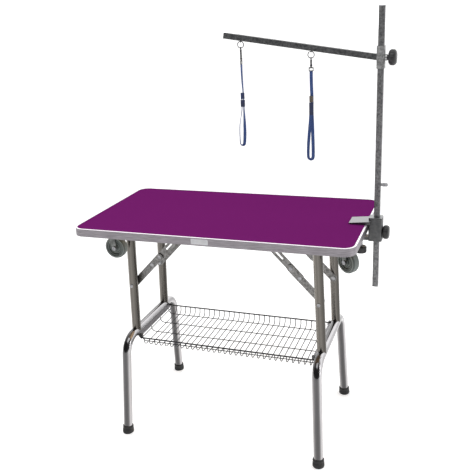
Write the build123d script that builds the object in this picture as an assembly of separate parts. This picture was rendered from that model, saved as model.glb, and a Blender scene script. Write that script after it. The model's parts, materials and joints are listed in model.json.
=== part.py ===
from build123d import *
import math
import os

# Folding grooming table with a basket, two casters, a clamp-on arm and two leads.
# Millimetres, +Z up, +X along the table towards the arm, the front at -Y.
# Drawn with x = 0 at the middle of the table top, and saved with x = 0 at the middle of the
# whole part, FRAME_SHIFT further along, on the floor.

# ---- table top ----
TOP_LENGTH = 950.0
TOP_DEPTH = 530.0
TOP_HEIGHT = 795.0          # top of the mat
MAT = 3.0
BOARD = 15.0
CORNER = 40.0               # corner radius of the edge profile, outside
PROFILE_HEIGHT = 26.2
PROFILE_PROUD = 1.2         # profile above the mat
PROFILE_WALL = 2.0
PROFILE_LIP = 6.0           # how far the profile reaches over the mat
PROFILE_SHELF = 14.0        # how far it reaches under the board
UNDERSIDE = TOP_HEIGHT - MAT - BOARD

# ---- leg frames ----
TUBE_R = 16.0
TUBE_WALL = 1.5
PIVOT_X = 333.0
PIVOT_Z = 742.0
LEAN = 2.0                  # degrees that the open legs lean outwards
POST_Y = 120.0
CROSSBAR_Z = 362.0
CROSSBAR_CORNER_Y = 200.15  # where the crossbar's line meets the leg's line
FOOT_Y = 235.0
BEND_R = 60.0
POST_ABOVE = 18.0           # post above its pivot
FOLD_RIGHT = 92.0
FOLD_LEFT = 84.8
FOOT_R = 20.5
FOOT_CUP_R = 18.8
FOOT_HEIGHT = 28.0

# ---- folding stays ----
STAY_POST_Z = 546.0         # height of the pivot on the post
STAY_TOP_X = 137.0
STAY_TOP_Z = 757.0
STAY_WIDTH = 25.0
STAY_THICK = 3.0
LOWER_STAY_Y = 98.0         # inner face of the lower stay, from the middle
UPPER_STAY_Y = 93.0
ANCHOR_Y = 89.7
LOCK_OFFSET = 44.0          # from the knuckle to the lock rivet
RIVET_R = 4.0
RUNNING = 0.05              # radial clearance of a running fit

# ---- casters ----
WHEEL_R = 37.5
WHEEL_WIDTH = 26.0
AXLE_Z = 714.0
TRAIL = 20.0
CASTERS = {"left": (-372.0, -190.0, 0.0), "right": (420.8, -138.2, -36.0)}

# ---- basket ----
BASKET_HALF = 331.0
BASKET_FRONT = -136.0
BASKET_BACK = 151.0
RIM_Z = 342.5
RIM_R = 2.5
WIRE_R = 1.5
BASKET_DEPTH = 28.0
WALL_BEND = 16.0
CROSS_WIRES = 31
CROSS_SPACING = 20.65
LONG_WIRES = 4

# ---- arm ----
MAST_X = 501.5
MAST_Y = 0.0
MAST_SIZE = 18.0
MAST_WALL = 1.5
MAST_BOTTOM = 575.0
MAST_SPLIT = 915.0
MAST_TOP = 1460.0
ARM_SIZE = 17.5
ARM_ROOT_Z = 1313.7
ARM_TILT = 8.73             # degrees that the free end stands up
ARM_LENGTH = 500.6          # from the mast's middle line to the free end
CLAMP_TOP = 816.0
CLAMP_BOTTOM = 738.0
CLAMP_OUTER = 18.5          # clamp's outer face from the mast's middle line
JAW_TIP = 416.0
JAW_HALF = 32.0
SLEEVE_TOP = 1348.0
SLEEVE_BOTTOM = 1282.0
SLEEVE_WALL = 2.7
KNOB_END = 46.0             # outer end of the sleeve's knob from the mast's middle line
FRAME_SHIFT = (MAST_X + KNOB_END - TOP_LENGTH / 2) / 2

# ---- leads ----
LEADS = {"left": 60.7, "right": 288.4}
HOOK_DROP = {"left": 36.2, "right": 25.0}
RING_R = 10.0               # middle of the ring's wire
RING_WIRE = 1.2
EYE_R = 3.4
EYE_WIRE = 1.1
LEAD_R = 2.5                # radius of a strand of the lead
KEEPER = {"left": (1165.0, 1187.0), "right": (1141.0, 1179.5)}
FERRULE = {"left": (1190.0, 1210.0), "right": (1181.0, 1200.0)}

os.makedirs("parts", exist_ok=True)


def save(name, shape):
    """Write one node, as one solid or a compound of separate solids, in the part's own frame."""
    solids = shape if isinstance(shape, list) else [shape]
    flat = [Pos(-FRAME_SHIFT, 0, 0) * s for item in solids for s in item.solids()]
    export_step(flat[0] if len(flat) == 1 else Compound(children=flat), f"parts/{name}.step")


def box(x0, x1, y0, y1, z0, z1):
    """A box between two corners."""
    return Pos((x0 + x1) / 2, (y0 + y1) / 2, (z0 + z1) / 2) * Box(x1 - x0, y1 - y0, z1 - z0)


def rod(start, end, radius):
    """A round rod between two points."""
    a, b = Vector(*start), Vector(*end)
    plane = Plane(origin=a, z_dir=b - a)
    return plane * Cylinder(radius, (b - a).length, align=(Align.CENTER, Align.CENTER, Align.MIN))


def swept(points, radii, radius):
    """A round wire or tube core along straight runs joined by arcs."""
    path = FilletPolyline(*points, radius=radii)
    return sweep(Plane(origin=path @ 0, z_dir=path % 0) * Circle(radius), path=path)


def mirrored(shapes):
    """The same pieces on the other end of the table."""
    return [mirror(s, about=Plane.YZ) for s in shapes]


def front_and_back(shape):
    """A piece and its mirror image across the table's depth."""
    return [shape, mirror(shape, about=Plane.XZ)]


def at_leg(shape):
    """From an upright leg, pivot at the origin, to the open right leg."""
    return Pos(PIVOT_X, 0, PIVOT_Z) * Rot(0, -LEAN, 0) * shape


# =====================  table top  =====================

def rounded_plate(inset, z0, z1):
    """A plate with the table's outline, set in by a distance."""
    outline = RectangleRounded(TOP_LENGTH - 2 * inset, TOP_DEPTH - 2 * inset, CORNER - inset)
    return Pos(0, 0, z0) * extrude(outline, z1 - z0)


def make_top():
    save("top_board", rounded_plate(PROFILE_WALL, UNDERSIDE, UNDERSIDE + BOARD))
    save("top_mat", rounded_plate(PROFILE_WALL, UNDERSIDE + BOARD, TOP_HEIGHT))
    high = TOP_HEIGHT + PROFILE_PROUD
    low = high - PROFILE_HEIGHT
    rim = rounded_plate(0, low, high)
    rim -= rounded_plate(PROFILE_WALL, low, TOP_HEIGHT)
    rim -= rounded_plate(PROFILE_LIP, TOP_HEIGHT, high)
    shelf = rounded_plate(PROFILE_WALL, UNDERSIDE - PROFILE_WALL, UNDERSIDE)
    shelf -= rounded_plate(PROFILE_SHELF, UNDERSIDE - PROFILE_WALL, UNDERSIDE)
    save("edge_profile", rim + shelf - name_plate() - seam_rivets()[0] - seam_rivets()[1])
    save("name_plate", name_plate())
    save("seam_rivets", seam_rivets())


def name_plate():
    """A blank plate let into the front of the profile."""
    front = -TOP_DEPTH / 2
    middle = -11.5
    plate = box(middle - 29, middle + 29, front, front + 0.8, TOP_HEIGHT - 21, TOP_HEIGHT - 3)
    return fillet(plate.edges().filter_by(Axis.Y), 3)


def seam_rivets():
    """Two flush rivets where the ends of the profile meet."""
    front = -TOP_DEPTH / 2
    return [rod((369.0, front, z), (369.0, front + 1.2, z), 2.5) for z in (776.5, 790.0)]


def make_underside():
    """Hinge brackets, stay anchors, their bolts, and the screws into the board."""
    brackets = [bracket for side in (hinge_brackets(), mirrored(hinge_brackets())) for bracket in side]
    anchors = [anchor for side in (stay_anchors(), mirrored(stay_anchors())) for anchor in side]
    bolts = [bolt for side in (hinge_bolts(), mirrored(hinge_bolts())) for bolt in side]
    rivets = [rivet for side in (top_rivets(), mirrored(top_rivets())) for rivet in side]
    save("underside_brackets", brackets + anchors)
    save("hinge_bolts", bolts)
    save("stay_top_rivets", rivets)
    save("board_screws", board_screws())


def hinge_brackets():
    """Two U brackets that hold one leg frame's posts under the board."""
    half = 18.0
    ear = 2.8
    inner = POST_Y - TUBE_R - 0.6
    outer = POST_Y + TUBE_R + 0.6
    plate = box(PIVOT_X - 24, PIVOT_X + 24, inner - ear, outer + ear, UNDERSIDE - 3, UNDERSIDE)
    bracket = plate
    for face in (inner - ear, outer):
        bracket += box(PIVOT_X - half, PIVOT_X + half, face, face + ear, PIVOT_Z, UNDERSIDE)
        bracket += rod((PIVOT_X, face, PIVOT_Z), (PIVOT_X, face + ear, PIVOT_Z), half)
    bracket -= rod((PIVOT_X, inner - 10, PIVOT_Z), (PIVOT_X, outer + 10, PIVOT_Z), RIVET_R)
    return front_and_back(bracket)


def stay_anchors():
    """Two small angle plates that hold one side's upper stays."""
    plate = box(STAY_TOP_X - 20, STAY_TOP_X + 20, ANCHOR_Y - 22, ANCHOR_Y + 3, UNDERSIDE - 3, UNDERSIDE)
    ear = box(STAY_TOP_X - 13, STAY_TOP_X + 13, ANCHOR_Y, ANCHOR_Y + 3, STAY_TOP_Z, UNDERSIDE)
    ear += rod((STAY_TOP_X, ANCHOR_Y, STAY_TOP_Z), (STAY_TOP_X, ANCHOR_Y + 3, STAY_TOP_Z), 13)
    anchor = plate + ear
    anchor -= rod((STAY_TOP_X, ANCHOR_Y - 1, STAY_TOP_Z), (STAY_TOP_X, ANCHOR_Y + 4, STAY_TOP_Z), RIVET_R)
    return front_and_back(anchor)


def hinge_bolts():
    """The bolts through one side's posts."""
    outer = POST_Y + TUBE_R + 3.4
    inner = POST_Y - TUBE_R - 3.4
    bolt = rod((PIVOT_X, inner, PIVOT_Z), (PIVOT_X, outer, PIVOT_Z), RIVET_R)
    bolt += rod((PIVOT_X, outer, PIVOT_Z), (PIVOT_X, outer + 3, PIVOT_Z), 7)
    bolt += rod((PIVOT_X, inner - 2.2, PIVOT_Z), (PIVOT_X, inner, PIVOT_Z), 6.5)
    return front_and_back(bolt)


def top_rivets():
    """The rivets that hold one side's upper stays to their anchors."""
    far = UPPER_STAY_Y + STAY_THICK + 0.3
    rivet = rod((STAY_TOP_X, ANCHOR_Y, STAY_TOP_Z), (STAY_TOP_X, far, STAY_TOP_Z), RIVET_R)
    rivet += rod((STAY_TOP_X, far, STAY_TOP_Z), (STAY_TOP_X, far + 1.2, STAY_TOP_Z), 7)
    rivet += rod((STAY_TOP_X, ANCHOR_Y - 2, STAY_TOP_Z), (STAY_TOP_X, ANCHOR_Y, STAY_TOP_Z), 7)
    return front_and_back(rivet)


def board_screws():
    """Button heads under the brackets, anchors and caster plates."""
    places = []
    for side in (-1, 1):
        for y in (POST_Y, -POST_Y):
            places += [(side * (PIVOT_X + dx), y, UNDERSIDE - 3) for dx in (-21, 21)]
        for y in (ANCHOR_Y - 14, 14 - ANCHOR_Y):
            places += [(side * (STAY_TOP_X + dx), y, UNDERSIDE - 3) for dx in (-12, 12)]
    for x, y, _ in CASTERS.values():
        places += [(x + dx, y + dy, UNDERSIDE - 3) for dx in (-25, 25) for dy in (-25, 25)]
    return [rod((x, y, z - 2), (x, y, z), 3.5 if abs(y) != POST_Y else 2.6) for x, y, z in places]


# =====================  leg frames  =====================

LEG_S = (PIVOT_Z - CROSSBAR_Z) / math.cos(math.radians(LEAN))
FOOT_S = PIVOT_Z / math.cos(math.radians(LEAN))
STAY_S = (PIVOT_Z - STAY_POST_Z) / math.cos(math.radians(LEAN))


def base_core(radius, extra=0.0):
    """The bent tube of one frame, upright: a crossbar with a splayed leg at each end."""
    slope = (FOOT_Y - CROSSBAR_CORNER_Y) / (FOOT_S - LEG_S)
    end_s = FOOT_S - 6 + extra
    end_y = CROSSBAR_CORNER_Y + slope * (end_s - LEG_S)
    points = [(0, -end_y, -end_s), (0, -CROSSBAR_CORNER_Y, -LEG_S),
              (0, CROSSBAR_CORNER_Y, -LEG_S), (0, end_y, -end_s)]
    return swept(points, BEND_R, radius)


def foot_axis():
    """Two points down the middle of the front leg, upright."""
    slope = (FOOT_Y - CROSSBAR_CORNER_Y) / (FOOT_S - LEG_S)
    return [(0, -CROSSBAR_CORNER_Y - slope * (s - LEG_S), -s) for s in (FOOT_S - FOOT_HEIGHT, FOOT_S + 6)]


def leg_posts():
    """Two upper posts, cut to sit on the crossbar, with holes for both pivots."""
    post = rod((0, -POST_Y, -LEG_S), (0, -POST_Y, POST_ABOVE), TUBE_R)
    post -= rod((0, -POST_Y, -LEG_S), (0, -POST_Y, POST_ABOVE), TUBE_R - TUBE_WALL)
    post -= base_core(TUBE_R)
    for s in (0.0, -STAY_S):
        post -= rod((0, -POST_Y - 30, s), (0, -POST_Y + 30, s), RIVET_R + RUNNING)
    return front_and_back(post)


def leg_base():
    """The bent base tube with the flat strip that carries the basket's clips."""
    tube = base_core(TUBE_R) - base_core(TUBE_R - TUBE_WALL, extra=1.0)
    strip = box(-TUBE_R - 12, -TUBE_R + 5, -140, 140, -LEG_S - 10, -LEG_S - 7)
    return tube + (strip - base_core(TUBE_R - TUBE_WALL / 2))


def leg_feet():
    """Rubber cups over the ends of the legs, flat on the floor."""
    top, low = foot_axis()
    cup = rod(top, low, FOOT_CUP_R)
    a, b = Vector(*top), Vector(*low)
    start = a + (b - a).normalized() * (FOOT_HEIGHT - 9)
    cup += rod(tuple(start), low, FOOT_R)
    cup -= base_core(TUBE_R)
    return [cup, mirror(cup, about=Plane.XZ)]


def basket_clips():
    """Black plastic clips on the ends of the strip, just above the basket's rim."""
    clips = []
    for y in (-134.0, 134.0):
        clip = box(-30.5, -17.5, y - 5, y + 5, -LEG_S - 15.2, -LEG_S - 3.5)
        clip -= box(-TUBE_R - 12, -TUBE_R + 5, -140, 140, -LEG_S - 10, -LEG_S - 7)
        clips.append(clip - base_core(TUBE_R))
    return clips


def make_leg(side, place):
    floor = box(-600, 600, -400, 400, 0, 400)
    save(f"{side}_posts", place([at_leg(s) for s in leg_posts()]))
    save(f"{side}_base_tube", place([at_leg(leg_base())]))
    save(f"{side}_feet", place([at_leg(s) & floor for s in leg_feet()]))
    save(f"{side}_basket_clips", place([at_leg(s) for s in basket_clips()]))


# =====================  folding stays  =====================

def rotated(point, centre, degrees):
    """A point in the XZ plane, turned from X towards Z."""
    c, s = math.cos(math.radians(degrees)), math.sin(math.radians(degrees))
    x, z = point[0] - centre[0], point[1] - centre[1]
    return centre[0] + c * x - s * z, centre[1] + s * x + c * z


PIVOT = (PIVOT_X, PIVOT_Z)
STAY_POST = (PIVOT_X + math.tan(math.radians(LEAN)) * (PIVOT_Z - STAY_POST_Z), STAY_POST_Z)
STAY_TOP = (STAY_TOP_X, STAY_TOP_Z)
STAY_SPAN = math.dist(STAY_POST, STAY_TOP)
# Equal links fold level, because the top pivot stands over the post pivot of the folded right leg.
UPPER_LENGTH = STAY_SPAN / 2
LOWER_LENGTH = STAY_SPAN / 2
ALONG = ((STAY_TOP[0] - STAY_POST[0]) / STAY_SPAN, (STAY_TOP[1] - STAY_POST[1]) / STAY_SPAN)
KNUCKLE = (STAY_POST[0] + ALONG[0] * LOWER_LENGTH, STAY_POST[1] + ALONG[1] * LOWER_LENGTH)
LOCK = (KNUCKLE[0] - ALONG[0] * LOCK_OFFSET, KNUCKLE[1] - ALONG[1] * LOCK_OFFSET)


def fold_angles(fold):
    """How far the upper stay turns, and the lower one against the leg, for a fold in degrees."""
    post = rotated(STAY_POST, PIVOT, -fold)
    gap = math.dist(post, STAY_TOP)
    direction = math.degrees(math.atan2(post[1] - STAY_TOP[1], post[0] - STAY_TOP[0]))
    corner = (UPPER_LENGTH ** 2 + gap ** 2 - LOWER_LENGTH ** 2) / (2 * UPPER_LENGTH * gap)
    upper = direction + math.degrees(math.acos(corner))
    tip = (STAY_TOP[0] + UPPER_LENGTH * math.cos(math.radians(upper)),
           STAY_TOP[1] + UPPER_LENGTH * math.sin(math.radians(upper)))
    lower = math.degrees(math.atan2(tip[1] - post[1], tip[0] - post[0]))
    rest = math.degrees(math.atan2(-ALONG[1], -ALONG[0]))
    rest_lower = math.degrees(math.atan2(ALONG[1], ALONG[0]))
    return upper - rest, (lower - rest_lower) + fold


def bar(a, b, y, width, thick):
    """A flat bar with round ends between two points in the XZ plane."""
    shape = rod((a[0], y, a[1]), (a[0], y + thick, a[1]), width / 2)
    shape += rod((b[0], y, b[1]), (b[0], y + thick, b[1]), width / 2)
    middle = ((a[0] + b[0]) / 2, (a[1] + b[1]) / 2)
    turn = math.degrees(math.atan2(b[1] - a[1], b[0] - a[0]))
    plate = Pos(middle[0], y + thick / 2, middle[1]) * Rot(0, -turn, 0) * Box(math.dist(a, b), thick, width)
    return shape + plate


def hole(shape, point, y, thick, radius):
    return shape - rod((point[0], y - 1, point[1]), (point[0], y + thick + 1, point[1]), radius)


def lower_stays():
    """The lower stays of the right leg, next to the posts."""
    stay = bar(STAY_POST, KNUCKLE, LOWER_STAY_Y, STAY_WIDTH, STAY_THICK)
    for point in (STAY_POST, KNUCKLE, LOCK):
        stay = hole(stay, point, LOWER_STAY_Y, STAY_THICK, RIVET_R)
    return front_and_back(stay)


def upper_stays():
    """The upper stays, which reach past the knuckle to the lock rivet."""
    stay = bar(STAY_TOP, LOCK, UPPER_STAY_Y, STAY_WIDTH, STAY_THICK)
    stay = hole(stay, STAY_TOP, UPPER_STAY_Y, STAY_THICK, RIVET_R + RUNNING)
    slot_start = (STAY_TOP[0] - ALONG[0] * 34, STAY_TOP[1] - ALONG[1] * 34)
    slot_end = (STAY_TOP[0] - ALONG[0] * 104, STAY_TOP[1] - ALONG[1] * 104)
    stay -= bar(slot_start, slot_end, UPPER_STAY_Y - 1, 7, STAY_THICK + 2)
    return front_and_back(stay)


def stay_rivets():
    """Post bolts, knuckle rivets and lock rivets, which turn with the lower stays."""
    x, z = STAY_POST
    shank = rod((x, LOWER_STAY_Y, z), (x, POST_Y + TUBE_R + 0.4, z), RIVET_R)
    shank += rod((x, POST_Y + TUBE_R + 0.4, z), (x, POST_Y + TUBE_R + 2.6, z), 6)
    shank += rod((x, LOWER_STAY_Y + STAY_THICK, z), (x, POST_Y - TUBE_R - 0.3, z), 7.5)
    shank += rod((x, LOWER_STAY_Y - 1.5, z), (x, LOWER_STAY_Y, z), 7)
    pieces = front_and_back(shank)
    for x, z in (KNUCKLE, LOCK):
        rivet = rod((x, LOWER_STAY_Y - 1.6, z), (x, LOWER_STAY_Y, z), 6.5)
        rivet += rod((x, LOWER_STAY_Y, z), (x, LOWER_STAY_Y + STAY_THICK, z), RIVET_R)
        outer = LOWER_STAY_Y + STAY_THICK
        rivet += rod((x, outer, z), (x, outer + 1.7, z), 6.5)
        pieces += front_and_back(rivet)
    return pieces


def make_stays(side, place):
    save(f"{side}_lower_stays", place(lower_stays()))
    save(f"{side}_upper_stays", place(upper_stays()))
    save(f"{side}_stay_rivets", place(stay_rivets()))


# =====================  casters  =====================

def caster_plate(x, y):
    """The fixed plate of a caster, with its bearing race and kingpin."""
    plate = Pos(x, y, UNDERSIDE - 1.5) * Box(62, 62, 3)
    plate = fillet(plate.edges().filter_by(Axis.Z), 6)
    race = rod((x, y, UNDERSIDE - 8), (x, y, UNDERSIDE - 3), 19)
    pin = rod((x, y, UNDERSIDE - 12.5), (x, y, UNDERSIDE - 8), 5)
    return plate + race + pin


def caster_fork():
    """A fork that swivels about the vertical; its wheel trails towards +X."""
    top = UNDERSIDE - 8.4
    gap = WHEEL_WIDTH / 2 + 1.5
    fork = rod((0, 0, top - 3.6), (0, 0, top), 21)
    fork += box(0, TRAIL + 6, -gap - 3, gap + 3, top - 3.6, top)
    for y in (-gap - 3, gap):
        cheek = Plane.XZ * Polyline((-4, top), (TRAIL + 6, top), (TRAIL + 8, AXLE_Z - 2),
                                    (TRAIL - 8, AXLE_Z - 2), close=True)
        arm = Pos(0, y, 0) * extrude(make_face(cheek), 3, dir=(0, 1, 0))
        arm += rod((TRAIL, y, AXLE_Z), (TRAIL, y + 3, AXLE_Z), 8.5)
        fork += arm
    fork -= rod((0, 0, top - 10), (0, 0, top + 5), 5 + RUNNING)
    fork -= rod((TRAIL, -30, AXLE_Z), (TRAIL, 30, AXLE_Z), 4)
    return fork


def caster_axle():
    """The axle bolt with its head and nut."""
    gap = WHEEL_WIDTH / 2 + 4.5
    bolt = rod((TRAIL, -gap, AXLE_Z), (TRAIL, gap, AXLE_Z), 4)
    bolt += rod((TRAIL, -gap - 3.5, AXLE_Z), (TRAIL, -gap, AXLE_Z), 7)
    bolt += rod((TRAIL, gap, AXLE_Z), (TRAIL, gap + 3.5, AXLE_Z), 7)
    return bolt


def caster_hub():
    """The plastic wheel centre, with a web and a bore for the axle."""
    half = WHEEL_WIDTH / 2
    hub = rod((TRAIL, -half + 3, AXLE_Z), (TRAIL, half - 3, AXLE_Z), 28)
    hub -= rod((TRAIL, -half + 3, AXLE_Z), (TRAIL, -half + 7, AXLE_Z), 23)
    hub -= rod((TRAIL, half - 7, AXLE_Z), (TRAIL, half - 3, AXLE_Z), 23)
    hub += rod((TRAIL, -half - 1, AXLE_Z), (TRAIL, half + 1, AXLE_Z), 9)
    hub -= rod((TRAIL, -half - 2, AXLE_Z), (TRAIL, half + 2, AXLE_Z), 4 + RUNNING)
    return hub


def caster_tyre():
    """The grey rubber tread round the hub."""
    half = WHEEL_WIDTH / 2
    tyre = rod((TRAIL, -half, AXLE_Z), (TRAIL, half, AXLE_Z), WHEEL_R)
    tyre = fillet(tyre.edges().filter_by(GeomType.CIRCLE), 6)
    tyre -= rod((TRAIL, -half - 1, AXLE_Z), (TRAIL, half + 1, AXLE_Z), 28)
    return tyre


def make_casters():
    save("caster_plates", [caster_plate(x, y) for x, y, _ in CASTERS.values()])
    for side, (x, y, turn) in CASTERS.items():
        place = Pos(x, y, 0) * Rot(0, 0, turn)
        save(f"{side}_caster_fork", place * caster_fork())
        save(f"{side}_caster_axle", place * caster_axle())
        save(f"{side}_caster_hub", place * caster_hub())
        save(f"{side}_caster_tyre", place * caster_tyre())


# =====================  basket  =====================

FLOOR_Z = RIM_Z - BASKET_DEPTH
WALL_TOP = RIM_Z - RIM_R - WIRE_R * 0.4
LONG_Z = FLOOR_Z + 2 * WIRE_R + 0.05


def basket_rim():
    """The heavy wire round the top of the basket."""
    path = RectangleRounded(2 * BASKET_HALF, BASKET_BACK - BASKET_FRONT, 12).wire()
    path = Pos(0, (BASKET_FRONT + BASKET_BACK) / 2, RIM_Z) * path
    return sweep(Plane(origin=path @ 0, z_dir=path % 0) * Circle(RIM_R), path=path)


def wall_wire(x, y, inwards):
    """A cross wire's bend and upright, from the floor to just under the rim."""
    points = [(x, y + inwards * (WALL_BEND + 6), FLOOR_Z), (x, y, FLOOR_Z), (x, y, RIM_Z - RIM_R - 0.1)]
    return swept(points, WALL_BEND, WIRE_R)


def make_basket():
    save("basket_rim", basket_rim())
    start = -(CROSS_WIRES - 1) / 2 * CROSS_SPACING
    places = [start + i * CROSS_SPACING for i in range(CROSS_WIRES)]
    inset = WALL_BEND + 6
    floor = [rod((x, BASKET_FRONT + inset, FLOOR_Z), (x, BASKET_BACK - inset, FLOOR_Z), WIRE_R) for x in places]
    walls = [wall_wire(x, BASKET_FRONT, 1) for x in places] + [wall_wire(x, BASKET_BACK, -1) for x in places]
    save("basket_cross_wires", floor + walls)
    span = BASKET_BACK - BASKET_FRONT - 2 * inset - 8
    rows = [BASKET_FRONT + inset + 4 + span * i / (LONG_WIRES - 1) for i in range(LONG_WIRES)]
    reach = BASKET_HALF - WALL_BEND - 6
    save("basket_long_wires", [rod((-reach, y, LONG_Z), (reach, y, LONG_Z), WIRE_R) for y in rows]
         + end_wires(rows, reach))


def end_wires(rows, reach):
    """The long wires' ends, which bend up to the rim, and a level wire half-way up each end."""
    pieces = []
    for side in (-1, 1):
        for y in rows:
            points = [(side * reach, y, LONG_Z), (side * BASKET_HALF, y, LONG_Z),
                      (side * BASKET_HALF, y, RIM_Z - RIM_R - 0.1)]
            pieces.append(swept(points, WALL_BEND, WIRE_R))
        x = side * (BASKET_HALF - 2 * WIRE_R - 0.05)
        z = RIM_Z - 9
        pieces.append(rod((x, BASKET_FRONT + 8, z), (x, BASKET_BACK - 8, z), WIRE_R))
    return pieces


# =====================  mast, clamp and arm  =====================

def square_tube(size, wall, z0, z1):
    """An upright square tube at the mast's place."""
    tube = Pos(MAST_X, MAST_Y, (z0 + z1) / 2) * Box(size, size, z1 - z0)
    tube = fillet(tube.edges().filter_by(Axis.Z), 1.5)
    return tube - Pos(MAST_X, MAST_Y, (z0 + z1) / 2) * Box(size - 2 * wall, size - 2 * wall, z1 - z0)


def make_mast():
    save("mast_lower_tube", square_tube(MAST_SIZE, MAST_WALL, MAST_BOTTOM, MAST_SPLIT))
    save("mast_upper_tube", upper_mast())
    core = MAST_SIZE - 2 * MAST_WALL
    spigot = Pos(MAST_X, MAST_Y, MAST_SPLIT) * Box(core - 0.5, core - 0.5, 120)
    spigot += Pos(MAST_X, MAST_Y, MAST_SPLIT - 35) * Box(core, core, 50)
    save("mast_spigot", spigot)
    cap = Pos(MAST_X, MAST_Y, MAST_TOP + 1.5) * Box(MAST_SIZE + 1, MAST_SIZE + 1, 3)
    cap = fillet(cap.faces().sort_by(Axis.Z)[-1].edges(), 1.2)
    cap += Pos(MAST_X, MAST_Y, MAST_TOP - 5) * Box(core, core, 10)
    save("mast_cap", cap)
    save("thumb_screw", thumb_screw())


THUMB_Z = MAST_SPLIT + 8.0


def upper_mast():
    """The upper tube, with a hole for the thumb screw."""
    tube = square_tube(MAST_SIZE, MAST_WALL, MAST_SPLIT, MAST_TOP)
    face = MAST_X + MAST_SIZE / 2
    return tube - rod((face - 4, MAST_Y, THUMB_Z), (face + 4, MAST_Y, THUMB_Z), 3 + RUNNING)


def thumb_screw():
    """A wing screw in the outer face of the upper tube."""
    face = MAST_X + MAST_SIZE / 2
    screw = rod((face - MAST_WALL, MAST_Y, THUMB_Z), (face + 6, MAST_Y, THUMB_Z), 3)
    screw += rod((face + 0.5, MAST_Y, THUMB_Z), (face + 6, MAST_Y, THUMB_Z), 5)
    wing = Pos(face + 13, MAST_Y, THUMB_Z) * Box(18, 3, 11)
    return screw + fillet(wing.edges().filter_by(Axis.Y), 4)


def arm_clamp():
    """The cast clamp: a block round the mast, and a jaw over the table's edge."""
    edge = TOP_LENGTH / 2 + 2.0
    outer = MAST_X + CLAMP_OUTER
    half = 20.0
    block = box(edge, outer, MAST_Y - half, MAST_Y + half, CLAMP_BOTTOM, CLAMP_TOP)
    clamp = fillet(block.edges().filter_by(Axis.Z), 5)
    low = TOP_HEIGHT + PROFILE_PROUD + 0.1
    jaw = Plane.XZ * Polyline((JAW_TIP, low), (edge + 8, low), (edge + 8, CLAMP_TOP - 9.5),
                              (edge, CLAMP_TOP - 10), (JAW_TIP, low + 3.7), close=True)
    clamp += Pos(0, MAST_Y - JAW_HALF, 0) * extrude(make_face(jaw), 2 * JAW_HALF, dir=(0, 1, 0))
    foot = box(JAW_X - 16, edge + 6, MAST_Y - 15, MAST_Y + 15, ARM_UNDER - 13, ARM_UNDER - 3)
    clamp += fillet(foot.edges().filter_by(Axis.Z).group_by(Axis.X)[0], 12)
    clamp -= Pos(MAST_X, MAST_Y, 770) * Box(MAST_SIZE + 0.6, MAST_SIZE + 0.6, 200)
    clamp -= rod((JAW_X, MAST_Y, ARM_UNDER - 20), (JAW_X, MAST_Y, ARM_UNDER + 5), 5 + RUNNING)
    clamp -= knob_bore(STAR_Z, MAST_SIZE / 2)
    return clamp


JAW_X = 452.0
ARM_UNDER = 752.0
STAR_Z = 765.5
KNOB_Z = ARM_ROOT_Z


def outwards(distance, z):
    """A point on a knob's axis, at a distance from the mast's middle line."""
    return MAST_X + distance, MAST_Y, z


def knob_bore(z, start):
    """The space of a knob's screw through a wall round the mast."""
    return rod(outwards(start, z), outwards(60, z), 4 + RUNNING)


def scallops(centre, direction, radius, count, depth):
    """Round grooves along a knob's rim."""
    plane = Plane(origin=Vector(*centre), z_dir=Vector(*direction))
    grooves = []
    for i in range(count):
        spin = 2 * math.pi * i / count
        offset = Pos(radius * 1.06 * math.cos(spin), radius * 1.06 * math.sin(spin), 0)
        grooves.append(plane * offset * Cylinder(radius * 0.12, depth))
    return grooves


def hand_knob(z, inner, stem, start, end, radius):
    """A domed, scalloped hand knob on its screw, pointing outwards."""
    knob = rod(outwards(start, z), outwards(end, z), radius)
    knob = fillet(knob.edges().filter_by(GeomType.CIRCLE), 0.42 * (end - start))
    for groove in scallops(outwards((start + end) / 2, z), (1, 0, 0), radius, 14, 60):
        knob -= groove
    knob += rod(outwards(stem, z), outwards(start + 2, z), 8)
    return knob + rod(outwards(inner, z), outwards(start + 2, z), 4)


def jaw_screw():
    """The clamping screw under the edge, with its pressure pad."""
    pad_top = UNDERSIDE - 2.2
    screw = rod((JAW_X, MAST_Y, 712), (JAW_X, MAST_Y, pad_top - 6), 5)
    pad = rod((JAW_X, MAST_Y, pad_top - 6), (JAW_X, MAST_Y, pad_top), 12)
    return screw + fillet(pad.edges().filter_by(GeomType.CIRCLE).group_by(Axis.Z)[0], 2)


def jaw_knob():
    """The knob on the bottom of the clamping screw."""
    knob = rod((JAW_X, MAST_Y, 690), (JAW_X, MAST_Y, 712), 18)
    knob = fillet(knob.edges().filter_by(GeomType.CIRCLE), 4)
    for groove in scallops((JAW_X, MAST_Y, 701), (0, 0, 1), 18, 8, 60):
        knob -= groove
    return knob


def arm_sleeve():
    """The sleeve that slides on the mast and carries the arm."""
    wall = SLEEVE_WALL
    size = MAST_SIZE + 0.6
    sleeve = Pos(MAST_X, MAST_Y, (SLEEVE_TOP + SLEEVE_BOTTOM) / 2) * Box(
        size + 2 * wall, size + 2 * wall, SLEEVE_TOP - SLEEVE_BOTTOM)
    sleeve = fillet(sleeve.edges().filter_by(Axis.Z), 2)
    sleeve -= Pos(MAST_X, MAST_Y, (SLEEVE_TOP + SLEEVE_BOTTOM) / 2) * Box(size, size, 80)
    boss = rod(outwards(11, KNOB_Z), outwards(18, KNOB_Z), 9.5)
    return sleeve + boss - knob_bore(KNOB_Z, MAST_SIZE / 2)


def along_arm(distance, down=0.0):
    """A point under the arm's middle line, at a distance from the mast's middle line."""
    tilt = math.radians(ARM_TILT)
    x = MAST_X - distance * math.cos(tilt)
    z = ARM_ROOT_Z + distance * math.sin(tilt)
    return x, MAST_Y, z - down / math.cos(tilt)


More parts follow.
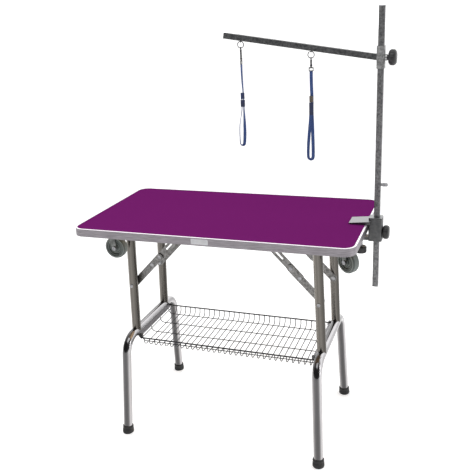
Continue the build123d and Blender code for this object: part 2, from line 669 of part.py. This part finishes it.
def arm_tube():
    """The square bar that carries the leads."""
    middle = along_arm(ARM_LENGTH / 2)
    bar_shape = Pos(*middle) * Rot(0, ARM_TILT, 0) * Box(ARM_LENGTH, ARM_SIZE, ARM_SIZE)
    bar_shape -= Pos(*middle) * Rot(0, ARM_TILT, 0) * Box(ARM_LENGTH + 2, ARM_SIZE - 3, ARM_SIZE - 3)
    reach = MAST_SIZE / 2 + 0.3 + SLEEVE_WALL
    return bar_shape - box(MAST_X - reach, MAST_X + 60, MAST_Y - 40, MAST_Y + 40, 1200, 1400)


def eye_place(x):
    """The middle of the eye under the arm at one lead."""
    distance = (MAST_X - x) / math.cos(math.radians(ARM_TILT))
    _, y, z = along_arm(distance, ARM_SIZE / 2)
    return x, y, z - 1.4


def arm_eyes():
    """Two small wire eyes welded under the arm."""
    eyes = []
    for x in LEADS.values():
        cx, cy, cz = eye_place(x)
        eye = Pos(cx, cy, cz) * Rot(0, 90, 0) * Torus(EYE_R, EYE_WIRE)
        middle = along_arm(ARM_LENGTH / 2)
        eye -= Pos(*middle) * Rot(0, ARM_TILT, 0) * Box(ARM_LENGTH, ARM_SIZE, ARM_SIZE)
        eyes.append(eye)
    return eyes


# =====================  leads  =====================

def lead_ring(x):
    """The round ring in the eye, face to the front."""
    cx, cy, cz = eye_place(x)
    top = cz - EYE_R + EYE_WIRE + RING_WIRE + 0.25
    return Pos(cx, cy, top - RING_R) * Rot(90, 0, 0) * Torus(RING_R, RING_WIRE)


def ring_bottom(x):
    """Height of the middle of the ring's wire at its lowest point."""
    return eye_place(x)[2] - EYE_R + EYE_WIRE + RING_WIRE + 0.25 - 2 * RING_R


def snap_hook(x, drop):
    """The snap hook: a bow round the ring's wire, a body and a collar."""
    z = ring_bottom(x)
    bow = Pos(x, MAST_Y, z - 1.0) * Rot(0, 90, 0) * Torus(3.6, 1.1)
    body = rod((x, MAST_Y, z - drop + 5), (x, MAST_Y, z - 4.4), 2.8)
    body = fillet(body.edges().filter_by(GeomType.CIRCLE), 1.0)
    return bow + body + rod((x, MAST_Y, z - drop + 0.3), (x, MAST_Y, z - drop + 5), 3.6)


def swivel_eye(x, drop, turn):
    """The flat loop under the swivel, through which the strap is sewn."""
    stem = rod((0, 0, -3), (0, 0, 0), 2.4)
    loop = Pos(0, 0, -8.4) * Box(15, 2.4, 12)
    loop -= Pos(0, 0, -8.9) * Box(10.6, 4, 6.4)
    return Pos(x, MAST_Y, ring_bottom(x) - drop) * Rot(0, 0, turn) * (stem + loop)


def lead_route(side):
    """The strap's route, as steps sideways from the ring and heights: down one strand, up the other."""
    return {
        "left": [(0.1, 1255), (2.7, 1210), (2.9, 1160), (3.7, 1108), (3.2, 1075), (1.5, 1053),
                 (0, 1041.6), (-4.1, 1037.5), (-9.9, 1037.5), (-14, 1041.6), (-14.6, 1053), (-14.8, 1075),
                 (-13.6, 1108), (-4.5, 1148), (-2.7, 1172), (-2.9, 1208)],
        "right": [(0.2, 1235), (2.9, 1195), (2.7, 1145), (3.4, 1088), (4.8, 1040), (5, 1014.5),
                  (4.4, 1001.8), (-0.1, 997.3), (-6.5, 997.3), (-11, 1001.8), (-11.6, 1014.5), (-11, 1040),
                  (-7, 1088), (-2.9, 1135), (-2.7, 1178)],
    }[side]


def corner_radii(points):
    """0.45 of the shorter run over the tangent of half the turn, for each corner."""
    radii = []
    for a, b, c in zip(points, points[1:], points[2:]):
        before, after = Vector(*b) - Vector(*a), Vector(*c) - Vector(*b)
        turn = math.radians(before.get_angle(after))
        radii.append(0.45 * min(before.length, after.length) / math.tan(turn / 2))
    return radii


def lead_strap(side, x):
    """The strap, from the swivel's eye round the noose and back to the keeper."""
    points = [(x, MAST_Y, ring_bottom(x) - HOOK_DROP[side] - 14.5)]
    points += [(x + step, MAST_Y, z) for step, z in lead_route(side)]
    radii = corner_radii(points)
    path = FilletPolyline(*points, radius=radii)
    strap = sweep(Plane(origin=path @ 0, z_dir=path % 0) * Circle(LEAD_R), path=path)
    section = math.pi * LEAD_R ** 2
    print(side, "strap length", round(path.length, 1), "volume over section",
          round(strap.volume / section, 1), "radii", [round(r) for r in radii])
    return strap


def band(x, span, width, depth, strap):
    """A hollow block round both strands between two heights."""
    low, high = span
    block = box(x - width / 2, x + width / 2, MAST_Y - depth / 2, MAST_Y + depth / 2, low, high)
    block = fillet(block.edges().filter_by(Axis.Z), 2.5)
    return (block - strap).solids().sort_by(SortBy.VOLUME)[-1]


def make_leads():
    for side, x in LEADS.items():
        strap = lead_strap(side, x)
        drop = HOOK_DROP[side]
        save(f"{side}_lead_ring", lead_ring(x))
        save(f"{side}_snap_hook", snap_hook(x, drop))
        save(f"{side}_swivel_eye", swivel_eye(x, drop, 90 if side == "left" else 0))
        save(f"{side}_strap", strap)
        save(f"{side}_keeper", band(x, KEEPER[side], 14, 8, strap))
        save(f"{side}_ferrule", band(x, FERRULE[side], 12.4, 7, strap))


def main():
    make_top()
    make_underside()
    make_leg("right", lambda shapes: shapes)
    make_leg("left", mirrored)
    make_stays("right", lambda shapes: shapes)
    make_stays("left", mirrored)
    make_casters()
    make_basket()
    make_mast()
    save("arm_clamp", arm_clamp())
    save("clamp_knob", hand_knob(STAR_Z, MAST_SIZE / 2 + 1.2, CLAMP_OUTER + 0.3, CLAMP_OUTER + 1.0, CLAMP_OUTER + 22, 22.5))
    save("jaw_screw", jaw_screw())
    save("jaw_knob", jaw_knob())
    save("arm_sleeve", arm_sleeve())
    save("sleeve_knob", hand_knob(KNOB_Z, MAST_SIZE / 2 + 1.2, 18.3, 22, KNOB_END, 23.5))
    save("arm_tube", arm_tube())
    save("arm_eyes", arm_eyes())
    make_leads()
    print("stay pivots", STAY_POST, STAY_TOP, "knuckle", KNUCKLE, "lengths", UPPER_LENGTH, LOWER_LENGTH)
    print("right turns", fold_angles(FOLD_RIGHT), "left turns", fold_angles(FOLD_LEFT))


main()
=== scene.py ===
import json
import math
import bmesh
import bpy
from mathutils import Matrix, Vector


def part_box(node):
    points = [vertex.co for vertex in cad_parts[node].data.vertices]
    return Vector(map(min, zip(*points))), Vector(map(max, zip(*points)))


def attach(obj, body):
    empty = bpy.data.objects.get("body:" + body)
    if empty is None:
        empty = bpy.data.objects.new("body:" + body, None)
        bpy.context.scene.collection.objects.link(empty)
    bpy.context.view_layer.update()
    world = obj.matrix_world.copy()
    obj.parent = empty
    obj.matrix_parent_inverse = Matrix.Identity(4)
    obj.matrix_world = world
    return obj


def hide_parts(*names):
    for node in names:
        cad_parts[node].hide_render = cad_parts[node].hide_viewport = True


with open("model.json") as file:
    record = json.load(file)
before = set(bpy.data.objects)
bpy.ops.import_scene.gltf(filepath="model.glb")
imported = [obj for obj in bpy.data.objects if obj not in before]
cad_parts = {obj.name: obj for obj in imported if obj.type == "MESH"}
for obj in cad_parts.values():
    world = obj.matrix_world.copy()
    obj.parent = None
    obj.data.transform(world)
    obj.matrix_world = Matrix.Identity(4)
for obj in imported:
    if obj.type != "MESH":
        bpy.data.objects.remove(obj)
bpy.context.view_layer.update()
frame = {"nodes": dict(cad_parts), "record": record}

# ---- camera, in metres and degrees, with the lens in millimetres ----
FRAME_SHIFT = 0.03625
CAMERA_PLACE = (0.783207 - FRAME_SHIFT, -2.107158, 1.491093)
CAMERA_YAW = 20.1002
CAMERA_PITCH = 19.0078
CAMERA_ROLL = -2.6653
CAMERA_LENS = 51.925
SENSOR = 36.0

# ---- light ----
BACKDROP_LIGHT = 1.5
ROOM_LIGHT = 0.10
# How far back a direction points where the backdrop starts to brighten, and where it is full.
BACKDROP_RISE = (-0.25, 0.35)
LAMP_AIM = (0, 0, 0.6)
KEY_POWER = 70
FILL_POWER = 10

# ---- floor ----
FLOOR_GLOW = 0.42
FLOOR_HALF = 30
FLOOR_TONE = 0.92
FLOOR_ROUGHNESS = 0.85

# ---- finishes ----
# The direction, in an object's own frame, that the painted reflection on a tube runs across, from light to
# dark painted streaks.
REFLECTION_SIDE = (0.90, 0.33, 0.29)
REFLECTION_SPAN = (-0.92, 1.08)
REFLECTION_WAVER = 0.16
# Painted reflection across a tube: a place from one side to the other, and how light the painted streak is
# there.
LEG_PAINTED_REFLECTION = [(0.0, 0.42), (0.12, 0.28), (0.22, 0.13), (0.42, 0.095), (0.60, 0.12), (0.68, 0.24),
               (0.78, 0.50), (0.88, 0.52), (1.0, 0.26)]
POST_PAINTED_REFLECTION = [(0.0, 0.34), (0.12, 0.20), (0.25, 0.12), (0.42, 0.16), (0.60, 0.11), (0.78, 0.075),
                (0.88, 0.06), (1.0, 0.20)]
LEG_HUE = (1.0, 0.98, 1.0)
POST_HUE = (1.0, 0.93, 0.84)
# The grain of a metal's roughness and relief, finer than that of its tone.
ROUGH_FINER = 2.3
RELIEF_FINER = 6
METAL_RELIEF = 0.00005
TUBE_RELIEF = 0.00002
MOULDED_GRAIN = 900.0
MOULDED_RELIEF = 0.00006
TOP_MOTTLE = 0.35
RIB_SCALE = 52.0
WEAVE_SCALE = 260.0
TYRE_RING_SPACING = 0.0062
RIGHT_WHEEL_TURN = -36.0

# ---- webbing leads ----
WEB_WIDTH = 0.0106
WEB_THICK = 0.0019
EDGE_STEPS = 7
CURVE_STEPS = 12
LEAD_X = {"left": 0.0607 - FRAME_SHIFT, "right": 0.2884 - FRAME_SHIFT}
# The webbing starts this far below the top of the strand that it replaces.
LEAD_DROP = 0.0002
# The left webbing is gathered about this height, where it passes through its keeper and ferrule.
WAIST_HEIGHT = 1.179
WAIST_REACH = 0.032
PINCHED = 0.70
# Steps sideways and in depth from the ring, and heights, with the strap's turn about its own line
# in degrees.
LEAD_ROUTE = {
    "left": [(0.0001, 0, 1.255, 12), (0.0027, 0, 1.210, 8), (0.0029, 0, 1.160, 8),
             (0.0037, 0, 1.108, 42), (0.0032, 0, 1.075, 55), (0.0015, 0, 1.053, 55),
             (0.0, 0, 1.0416, 50), (-0.0041, 0, 1.0375, 42), (-0.0099, 0, 1.0375, 35),
             (-0.014, 0, 1.0416, 30), (-0.0146, 0, 1.053, 28), (-0.0148, 0, 1.075, 26),
             (-0.0136, 0, 1.108, 22), (-0.0045, 0, 1.148, 8), (-0.0027, 0, 1.172, 0),
             (-0.0029, 0, 1.208, 0)],
    "right": [(0.0002, 0, 1.235, 90), (0.0018, 0.0014, 1.195, 90), (0.0014, 0.0016, 1.145, 90),
              (0.0034, 0.0014, 1.088, 80), (0.0048, 0.0004, 1.040, 72), (0.005, 0, 1.0145, 68),
              (0.0044, 0, 1.0018, 64), (-0.0001, 0, 0.9973, 60), (-0.0065, 0, 0.9973, 60),
              (-0.011, 0, 1.0018, 64), (-0.0116, 0, 1.0145, 68), (-0.011, -0.0004, 1.040, 72),
              (-0.007, -0.0014, 1.088, 80), (-0.0014, -0.0016, 1.135, 90), (-0.0014, -0.0016, 1.178, 90)],
}

# ---- rubber feet, in metres and degrees ----
FOOT_HEIGHT = 0.0275
FOOT_RADIUS = 0.0204
FOOT_SPOT = (0.3589, 0.235)
FOOT_SIDES = 64
COLLAR_START = 0.02
COLLAR_DEPTH = 0.0005
COLLAR_SCALLOPS = 12
LEG_LEAN = 2.0
LEG_SPLAY = 5.5


def material(name):
    """A new node material, with its tree and shader."""
    made = bpy.data.materials.new(name)
    made.use_nodes = True
    shader = made.node_tree.nodes["Principled BSDF"]
    return made, made.node_tree, shader


def coordinates(tree, scale=(1, 1, 1)):
    """Object coordinates, stretched."""
    place = tree.nodes.new("ShaderNodeTexCoord")
    stretch = tree.nodes.new("ShaderNodeMapping")
    stretch.inputs["Scale"].default_value = scale
    tree.links.new(place.outputs["Object"], stretch.inputs["Vector"])
    return stretch.outputs["Vector"]


def worked_out(tree, kind, operation, *terms, result="Value"):
    """A maths node's result, from sockets or plain values."""
    node = tree.nodes.new(kind)
    node.operation = operation
    for slot, term in zip(node.inputs, terms):
        if isinstance(term, bpy.types.NodeSocket):
            tree.links.new(term, slot)
        else:
            slot.default_value = term
    return node.outputs[result]


def noise(tree, where, scale, detail=4.0):
    """Soft mottling."""
    texture = tree.nodes.new("ShaderNodeTexNoise")
    texture.inputs["Scale"].default_value = scale
    texture.inputs["Detail"].default_value = detail
    tree.links.new(where, texture.inputs["Vector"])
    return texture.outputs["Fac"]


def waves(tree, where, scale, direction, distortion=0.0):
    """Even ribs."""
    texture = tree.nodes.new("ShaderNodeTexWave")
    texture.bands_direction = direction
    texture.inputs["Scale"].default_value = scale
    texture.inputs["Distortion"].default_value = distortion
    tree.links.new(where, texture.inputs["Vector"])
    return texture.outputs["Fac"]


def tint(tree, shader, value, low, high, start=0.3, end=0.7):
    """Base colour between two tones, by a texture."""
    ramp = tree.nodes.new("ShaderNodeValToRGB")
    ramp.color_ramp.elements[0].position = start
    ramp.color_ramp.elements[0].color = (*low, 1)
    ramp.color_ramp.elements[1].position = end
    ramp.color_ramp.elements[1].color = (*high, 1)
    tree.links.new(value, ramp.inputs["Fac"])
    tree.links.new(ramp.outputs["Color"], shader.inputs["Base Color"])


def rough(tree, shader, value, low, high):
    """Roughness between two values, by a texture."""
    spread = tree.nodes.new("ShaderNodeMapRange")
    spread.inputs["To Min"].default_value = low
    spread.inputs["To Max"].default_value = high
    tree.links.new(value, spread.inputs["Value"])
    tree.links.new(spread.outputs["Result"], shader.inputs["Roughness"])


def relief(tree, shader, value, distance, strength=1.0):
    """Fine relief, by a texture."""
    bump = tree.nodes.new("ShaderNodeBump")
    bump.inputs["Strength"].default_value = strength
    bump.inputs["Distance"].default_value = distance
    tree.links.new(value, bump.inputs["Height"])
    tree.links.new(bump.outputs["Normal"], shader.inputs["Normal"])


def metal_grain(tree, shader, where, scale, roughness, depth):
    """Roughness and relief with a finer grain than the tone's."""
    rough(tree, shader, noise(tree, where, scale * ROUGH_FINER), *roughness)
    relief(tree, shader, noise(tree, where, scale * RELIEF_FINER), depth)


def metal(name, low, high, roughness, scale):
    """Metal with a mottled surface."""
    made, tree, shader = material(name)
    shader.inputs["Metallic"].default_value = 1.0
    where = coordinates(tree)
    tint(tree, shader, noise(tree, where, scale), low, high)
    metal_grain(tree, shader, where, scale, roughness, METAL_RELIEF)
    return made


def paint_reflection(tree, shader, streaks, hue):
    """Painted reflection in the base colour: light and dark streaks by the direction that the surface faces.
    """
    facing = tree.nodes.new("ShaderNodeTexCoord").outputs["Normal"]
    # The painted light and dark streaks depend only on how the surface faces this fixed direction.
    across = worked_out(tree, "ShaderNodeVectorMath", "DOT_PRODUCT", facing, REFLECTION_SIDE)
    waver = noise(tree, coordinates(tree, (6, 6, 2)), 6.0)
    spot = worked_out(tree, "ShaderNodeMath", "MULTIPLY_ADD", waver, REFLECTION_WAVER, across)
    reach = tree.nodes.new("ShaderNodeMapRange")
    reach.inputs["From Min"].default_value = REFLECTION_SPAN[0]
    reach.inputs["From Max"].default_value = REFLECTION_SPAN[1]
    tree.links.new(spot, reach.inputs["Value"])
    ramp = tree.nodes.new("ShaderNodeValToRGB")
    stops = ramp.color_ramp.elements
    for place, _ in streaks[1:-1]:
        stops.new(place)
    for stop, (_, light) in zip(stops, streaks):
        stop.color = (*(light * part for part in hue), 1)
    tree.links.new(reach.outputs["Result"], ramp.inputs["Fac"])
    tree.links.new(ramp.outputs["Color"], shader.inputs["Base Color"])


def chrome_with_painted_reflection(name, streaks, hue, roughness):
    """Drawn tube with painted reflection: light and dark painted streaks that run along it."""
    made, tree, shader = material(name)
    shader.inputs["Metallic"].default_value = 1.0
    paint_reflection(tree, shader, streaks, hue)
    where = coordinates(tree)
    rough(tree, shader, noise(tree, where, 90.0), *roughness)
    relief(tree, shader, noise(tree, where, 200.0), TUBE_RELIEF)
    return made


def moulded(name, low, high, roughness):
    """Moulded plastic or rubber with a fine grain."""
    made, tree, shader = material(name)
    where = coordinates(tree)
    tint(tree, shader, noise(tree, where, 70.0), low, high)
    rough(tree, shader, noise(tree, where, 180.0), *roughness)
    relief(tree, shader, noise(tree, where, MOULDED_GRAIN), MOULDED_RELIEF)
    return made


def ribbed_mat():
    """Purple rubber with fine lengthwise ribs."""
    made, tree, shader = material("purple_mat")
    where = coordinates(tree)
    ribs = waves(tree, where, RIB_SCALE, "Y")
    tint(tree, shader, ribs, (0.116, 0.0095, 0.096), (0.182, 0.016, 0.152), 0.15, 0.8)
    rough(tree, shader, noise(tree, where, 240.0), 0.52, 0.72)
    relief(tree, shader, ribs, 0.0006, 0.5)
    shader.inputs["Specular IOR Level"].default_value = 0.0
    return made


def webbing(name, low, high):
    """Woven nylon: diagonal ribs crossed by a fine weft."""
    made, tree, shader = material(name)
    where = coordinates(tree)
    weave = waves(tree, where, WEAVE_SCALE, "DIAGONAL", 0.6)
    tint(tree, shader, weave, low, high)
    rough(tree, shader, noise(tree, where, 500.0), 0.62, 0.85)
    relief(tree, shader, weave, 0.0003, 0.8)
    shader.inputs["Sheen Weight"].default_value = 0.25
    return made


def plywood():
    """Pale wood with a lengthwise grain."""
    made, tree, shader = material("plywood")
    where = coordinates(tree, (1, 6, 1))
    tint(tree, shader, noise(tree, where, 9.0, 8.0), (0.42, 0.28, 0.16), (0.66, 0.49, 0.31))
    rough(tree, shader, noise(tree, where, 40.0), 0.5, 0.7)
    relief(tree, shader, noise(tree, where, 90.0), 0.0002)
    return made


def painted_top_light(name, low, high, scale, roughness, depth, stretch=(1, 1, 1)):
    """Metal with a painted highlight on its upper face, and painted shade on its darker, mottled sides."""
    made, tree, shader = material(name)
    shader.inputs["Metallic"].default_value = 1.0
    where = coordinates(tree, stretch)
    facing = tree.nodes.new("ShaderNodeNewGeometry")
    split = tree.nodes.new("ShaderNodeSeparateXYZ")
    tree.links.new(facing.outputs["Normal"], split.inputs["Vector"])
    mottle = noise(tree, where, scale)
    # Tone is mottle plus how far the face looks up: painted light on top faces, painted shade on the sides.
    tone = worked_out(tree, "ShaderNodeMath", "MULTIPLY_ADD", mottle, TOP_MOTTLE, split.outputs["Z"])
    tint(tree, shader, tone, low, high, 0.10, 0.95)
    metal_grain(tree, shader, where, scale, roughness, depth)
    return made


def ringed_tyre(name, centre, axis):
    """Grey rubber with moulded rings round the axle."""
    made, tree, shader = material(name)
    place = tree.nodes.new("ShaderNodeTexCoord").outputs["Object"]
    offset = worked_out(tree, "ShaderNodeVectorMath", "SUBTRACT", place, centre, result="Vector")
    cross = worked_out(tree, "ShaderNodeVectorMath", "CROSS_PRODUCT", offset, axis, result="Vector")
    reach = worked_out(tree, "ShaderNodeVectorMath", "LENGTH", cross)
    turn = worked_out(tree, "ShaderNodeMath", "MULTIPLY", reach, 2 * math.pi / TYRE_RING_SPACING)
    ring = worked_out(tree, "ShaderNodeMath", "SINE", turn)
    tint(tree, shader, ring, (0.085, 0.099, 0.094), (0.250, 0.280, 0.266), 0.0, 1.0)
    rough(tree, shader, noise(tree, coordinates(tree), 160.0), 0.45, 0.68)
    relief(tree, shader, ring, 0.0006, 0.6)
    return made


def all_materials():
    """One material for each slot, but for the wheels, which have their own."""
    return {
        "plywood": plywood(),
        "purple_mat": ribbed_mat(),
        # The satin aluminium has a painted highlight on upward faces and painted shade on its sides.
        "satin_aluminium": painted_top_light("satin_aluminium", (0.18, 0.165, 0.18), (0.90, 0.86, 0.90), 26.0,
                                         (0.30, 0.46), 0.00004, (1, 1, 14)),
        "blank_label": moulded("blank_label", (0.55, 0.55, 0.57), (0.66, 0.66, 0.68), (0.35, 0.5)),
        "zinc_steel": metal("zinc_steel", (0.09, 0.095, 0.09), (0.22, 0.225, 0.22), (0.34, 0.52), 90),
        "bolt_steel": metal("bolt_steel", (0.16, 0.16, 0.17), (0.40, 0.40, 0.41), (0.25, 0.4), 140),
        # The cast clamp also has a painted highlight on upward faces and painted shade on its sides.
        "cast_clamp": painted_top_light("cast_clamp", (0.095, 0.096, 0.098), (0.34, 0.345, 0.35), 90.0,
                                    (0.38, 0.58), 0.0003),
        "galvanised_tube": metal("galvanised_tube", (0.055, 0.056, 0.058), (0.145, 0.147, 0.15),
                                 (0.34, 0.52), 170),
        "grey_cap": moulded("grey_cap", (0.38, 0.38, 0.40), (0.5, 0.5, 0.52), (0.4, 0.55)),
        "black_plastic": moulded("black_plastic", (0.008, 0.008, 0.009), (0.022, 0.022, 0.024), (0.3, 0.46)),
        # The chrome legs carry painted reflection: light and dark streaks in their base colour.
        "chrome_tube": chrome_with_painted_reflection("chrome_tube", LEG_PAINTED_REFLECTION, LEG_HUE, (0.10, 0.2)),
        "black_rubber": moulded("black_rubber", (0.012, 0.012, 0.013), (0.028, 0.028, 0.028), (0.55, 0.75)),
        "stay_steel": metal("stay_steel", (0.09, 0.088, 0.085), (0.26, 0.255, 0.25), (0.3, 0.46), 130),
        "hook_chrome": metal("hook_chrome", (0.010, 0.010, 0.012), (0.055, 0.055, 0.060), (0.16, 0.3), 300),
        "blue_webbing": webbing("blue_webbing", (0.010, 0.034, 0.135), (0.040, 0.092, 0.280)),
        "dark_blue_plastic": moulded("dark_blue_plastic", (0.006, 0.012, 0.05), (0.014, 0.024, 0.085),
                                     (0.25, 0.4)),
        "bronze_ferrule": metal("bronze_ferrule", (0.085, 0.072, 0.062), (0.17, 0.148, 0.13),
                                (0.3, 0.45), 300),
        "wire_chrome": metal("wire_chrome", (0.010, 0.010, 0.012), (0.045, 0.045, 0.051), (0.2, 0.34), 60),
    }


def special_materials():
    """Finishes that differ within a slot: duller posts with their own painted reflection, a lighter mast and
    sleeve, and ringed wheels.
    """
    posts = chrome_with_painted_reflection("post_steel_painted_reflection", POST_PAINTED_REFLECTION, POST_HUE, (0.14, 0.28))
    special = {"left_posts": posts, "right_posts": posts}
    mast = metal("mast_steel", (0.085, 0.086, 0.088), (0.24, 0.24, 0.245), (0.34, 0.52), 170)
    special["mast_lower_tube"] = mast
    special["mast_upper_tube"] = mast
    special["arm_sleeve"] = metal("sleeve_steel", (0.16, 0.16, 0.16), (0.42, 0.42, 0.42), (0.26, 0.42), 140)
    for side, turn in (("left", 0.0), ("right", RIGHT_WHEEL_TURN)):
        low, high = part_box(f"{side}_caster_tyre")
        axis = (-math.sin(math.radians(turn)), math.cos(math.radians(turn)), 0)
        rings = ringed_tyre(f"{side}_tyre", (low + high) / 2, axis)
        special[f"{side}_caster_tyre"] = rings
        special[f"{side}_caster_hub"] = rings
    return special


def paint_nodes(materials, special):
    """Each CAD node gets its slot's material, or its own."""
    for row in frame["record"]["subparts"]:
        name = row["node"]
        node = frame["nodes"][name]
        chosen = special[name] if name in special else materials[row["material_slot"]]
        if not node.material_slots:
            node.data.materials.append(chosen)
        for place in node.material_slots:
            place.material = chosen


def added(name, data):
    """A new object in the scene."""
    made = bpy.data.objects.new(name, data)
    bpy.context.scene.collection.objects.link(made)
    return made


def link(name, data, body, chosen):
    """A new piece, finished and riding on its body."""
    made = added(name, data)
    data.materials.append(chosen)
    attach(made, body)
    return made


def strap_profile():
    """The webbing's cross-section: flat, with rounded edges."""
    shape = bpy.data.curves.new("strap_profile", "CURVE")
    line = shape.splines.new("POLY")
    half, edge = WEB_WIDTH / 2, WEB_THICK / 2
    points = []
    for side in (1, -1):
        for step in range(EDGE_STEPS):
            turn = math.radians(30 * step - 90 * side)
            points.append((side * (half - edge) + edge * math.cos(turn), edge * math.sin(turn)))
    line.points.add(len(points) - 1)
    for point, (x, y) in zip(line.points, points):
        point.co = (x, y, 0, 1)
    line.use_cyclic_u = True
    profile = added("strap_profile", shape)
    profile.hide_render = True
    return profile


def lead(side, profile, chosen):
    """One webbing lead with its noose, in place of the CAD strand."""
    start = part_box(f"{side}_strap")[1].z - LEAD_DROP
    route = [(0.0, 0, start, LEAD_ROUTE[side][0][3])] + LEAD_ROUTE[side]
    shape = bpy.data.curves.new(f"{side}_webbing", "CURVE")
    shape.dimensions = "3D"
    shape.resolution_u = CURVE_STEPS
    shape.bevel_mode = "OBJECT"
    shape.bevel_object = profile
    shape.use_fill_caps = True
    line = shape.splines.new("NURBS")
    line.points.add(len(route) - 1)
    for point, (step, depth, height, turn) in zip(line.points, route):
        point.co = (LEAD_X[side] + step, depth, height, 1)
        point.tilt = math.radians(turn)
        gathered = side == "left" and abs(height - WAIST_HEIGHT) < WAIST_REACH
        point.radius = PINCHED if gathered else 1.0
    line.order_u = 3
    line.use_endpoint_u = True
    strap = link(f"{side}_webbing", shape, f"{side}_lead", chosen)
    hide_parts(f"{side}_strap")


def foot_rings():
    """Heights along the leg and radii of a foot, from the floor up."""
    return [(-0.004, 0.0190), (0.0015, 0.0202), (0.004, FOOT_RADIUS), (0.014, 0.0199),
            (0.0155, 0.0188), (0.0195, 0.0186), (0.0205, 0.0193), (0.0255, 0.0191),
            (FOOT_HEIGHT, 0.0182), (0.0272, 0.0162)]


def foot_axis(sign, depth):
    """The direction of a lower leg, from its foot up."""
    lean = math.tan(math.radians(LEG_LEAN))
    splay = math.tan(math.radians(LEG_SPLAY))
    axis = Vector((-sign * lean, -depth * splay, 1))
    axis.normalize()
    return axis


def foot_ring(work, low, axis, height, radius):
    """A ring of points round the leg's line: scalloped in the collar, and never below the floor."""
    across = axis.orthogonal().normalized()
    beside = axis.cross(across)
    ring = []
    for i in range(FOOT_SIDES):
        turn = 2 * math.pi * i / FOOT_SIDES
        collar = COLLAR_DEPTH * math.cos(COLLAR_SCALLOPS * turn) if height > COLLAR_START else 0.0
        spot = low + axis * height
        spot += (across * math.cos(turn) + beside * math.sin(turn)) * (radius + collar)
        spot.z = max(spot.z, 0.0)
        ring.append(work.verts.new(spot))
    return ring


def skin(work, rings):
    """Faces between rings of points, and over both ends."""
    for lower, upper in zip(rings, rings[1:]):
        for i in range(FOOT_SIDES):
            j = (i + 1) % FOOT_SIDES
            work.faces.new((lower[i], lower[j], upper[j], upper[i]))
    work.faces.new(list(reversed(rings[0])))
    work.faces.new(rings[-1])


def feet(side, sign, chosen):
    """Both rubber feet of one frame, with a scalloped collar."""
    shape = bpy.data.meshes.new(f"{side}_rubber_feet")
    work = bmesh.new()
    for depth in (-1, 1):
        low = Vector((sign * FOOT_SPOT[0] - FRAME_SHIFT, depth * FOOT_SPOT[1], 0))
        axis = foot_axis(sign, depth)
        skin(work, [foot_ring(work, low, axis, *ring) for ring in foot_rings()])
    for face in work.faces:
        face.smooth = len(face.verts) == 4
    work.to_mesh(shape)
    work.free()
    foot = link(f"{side}_rubber_feet", shape, f"{side}_leg", chosen)
    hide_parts(f"{side}_feet")


def floor():
    """A plain pale floor."""
    shape = bpy.data.meshes.new("floor")
    work = bmesh.new()
    bmesh.ops.create_grid(work, x_segments=1, y_segments=1, size=FLOOR_HALF)
    work.to_mesh(shape)
    work.free()
    ground = added("floor", shape)
    made, _, shader = material("pale_floor")
    shader.inputs["Base Color"].default_value = (FLOOR_TONE, FLOOR_TONE, FLOOR_TONE, 1)
    shader.inputs["Roughness"].default_value = FLOOR_ROUGHNESS
    shader.inputs["Emission Color"].default_value = (1, 1, 1, 1)
    shader.inputs["Emission Strength"].default_value = FLOOR_GLOW
    shape.materials.append(made)


def lamp(name, place, size, power):
    """A soft box that faces the middle of the object."""
    data = bpy.data.lights.new(name, "AREA")
    data.shape = "RECTANGLE"
    data.size = size[0]
    data.size_y = size[1]
    data.energy = power
    light = added(name, data)
    light.location = place
    light.rotation_euler = (Vector(LAMP_AIM) - Vector(place)).to_track_quat("-Z", "Y").to_euler()


def lighting():
    """Soft studio light: a white backdrop all round, lit most from behind, and two soft boxes."""
    world = bpy.data.worlds.new("studio")
    world.use_nodes = True
    tree = world.node_tree
    place = tree.nodes.new("ShaderNodeTexCoord")
    split = tree.nodes.new("ShaderNodeSeparateXYZ")
    spread = tree.nodes.new("ShaderNodeMapRange")
    spread.interpolation_type = "SMOOTHSTEP"
    spread.inputs["From Min"].default_value = BACKDROP_RISE[0]
    spread.inputs["From Max"].default_value = BACKDROP_RISE[1]
    spread.inputs["To Min"].default_value = ROOM_LIGHT
    spread.inputs["To Max"].default_value = BACKDROP_LIGHT
    tree.links.new(place.outputs["Generated"], split.inputs["Vector"])
    tree.links.new(split.outputs["Y"], spread.inputs["Value"])
    seen = tree.nodes.new("ShaderNodeLightPath").outputs["Is Camera Ray"]
    bright = worked_out(tree, "ShaderNodeMath", "MAXIMUM", spread.outputs["Result"], seen)
    tree.links.new(bright, tree.nodes["Background"].inputs["Strength"])
    tree.nodes["Background"].inputs["Color"].default_value = (1, 1, 1, 1)
    bpy.context.scene.world = world
    bpy.context.scene.view_settings.view_transform = "Standard"
    lamp("key", (-0.4, -1.6, 4.2), (3.2, 2.4), KEY_POWER)
    lamp("fill", (2.8, -0.4, 1.3), (0.35, 2.2), FILL_POWER)


def camera():
    """The eye, turned by its yaw, tilted down by its pitch, and rolled."""
    yaw, pitch, roll = (math.radians(a) for a in (CAMERA_YAW, CAMERA_PITCH, CAMERA_ROLL))
    ahead = Vector((-math.sin(yaw) * math.cos(pitch), math.cos(yaw) * math.cos(pitch), -math.sin(pitch)))
    level = Vector((math.cos(yaw), math.sin(yaw), 0))
    over = level.cross(ahead)
    right = level * math.cos(roll) + over * math.sin(roll)
    up = over * math.cos(roll) - level * math.sin(roll)
    data = bpy.data.cameras.new("camera")
    data.lens = CAMERA_LENS
    data.sensor_width = SENSOR
    eye = added("camera", data)
    turn = Matrix((right, up, -ahead)).transposed()
    eye.matrix_world = Matrix.Translation(CAMERA_PLACE) @ turn.to_4x4()
    bpy.context.scene.camera = eye


materials = all_materials()
paint_nodes(materials, special_materials())
web_profile = strap_profile()
for web_side in ("left", "right"):
    lead(web_side, web_profile, materials["blue_webbing"])
feet("left", -1, materials["black_rubber"])
feet("right", 1, materials["black_rubber"])
floor()
lighting()
camera()
